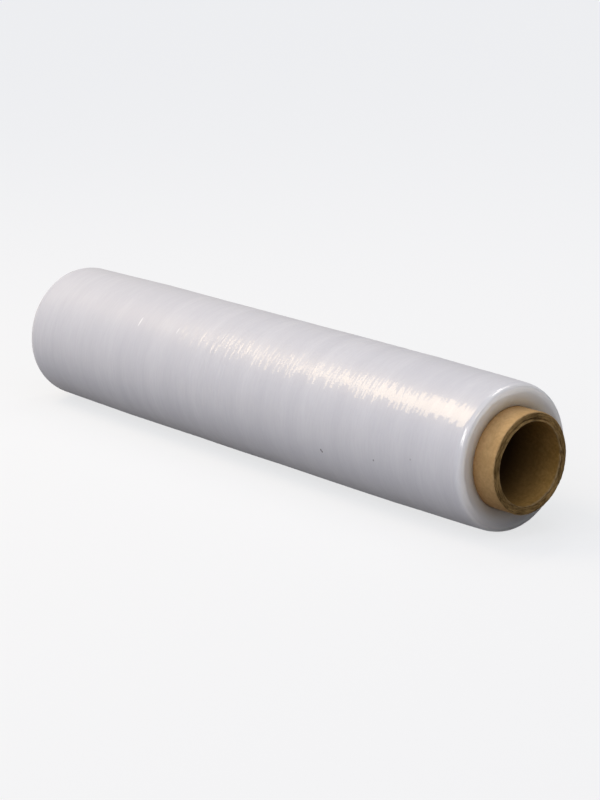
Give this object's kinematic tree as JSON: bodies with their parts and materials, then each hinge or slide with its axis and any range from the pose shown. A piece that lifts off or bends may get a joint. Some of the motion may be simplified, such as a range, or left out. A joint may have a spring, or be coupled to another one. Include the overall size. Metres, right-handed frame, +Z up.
{
  "type": "cling film roll",
  "caption": "Clear cling film wound on a brown paper core that stands out at the ends; the roll lies on its side and turns on a spindle through its bore.",
  "frame": {"origin": "on the surface that the roll rests on, under the middle of the core", "axes": "+X along the roll towards the end where more of the core shows, +Z up"},
  "size_m": [0.3282, 0.0682, 0.0679],
  "materials": {
    "kraft_core": "matt wound kraft paper",
    "film": "milky translucent stretch film, glossy, with fine winding lines"
  },
  "bodies": {
    "root": {"core_tube": "kraft_core", "film_wind": "film"}
  },
  "joints": []
}
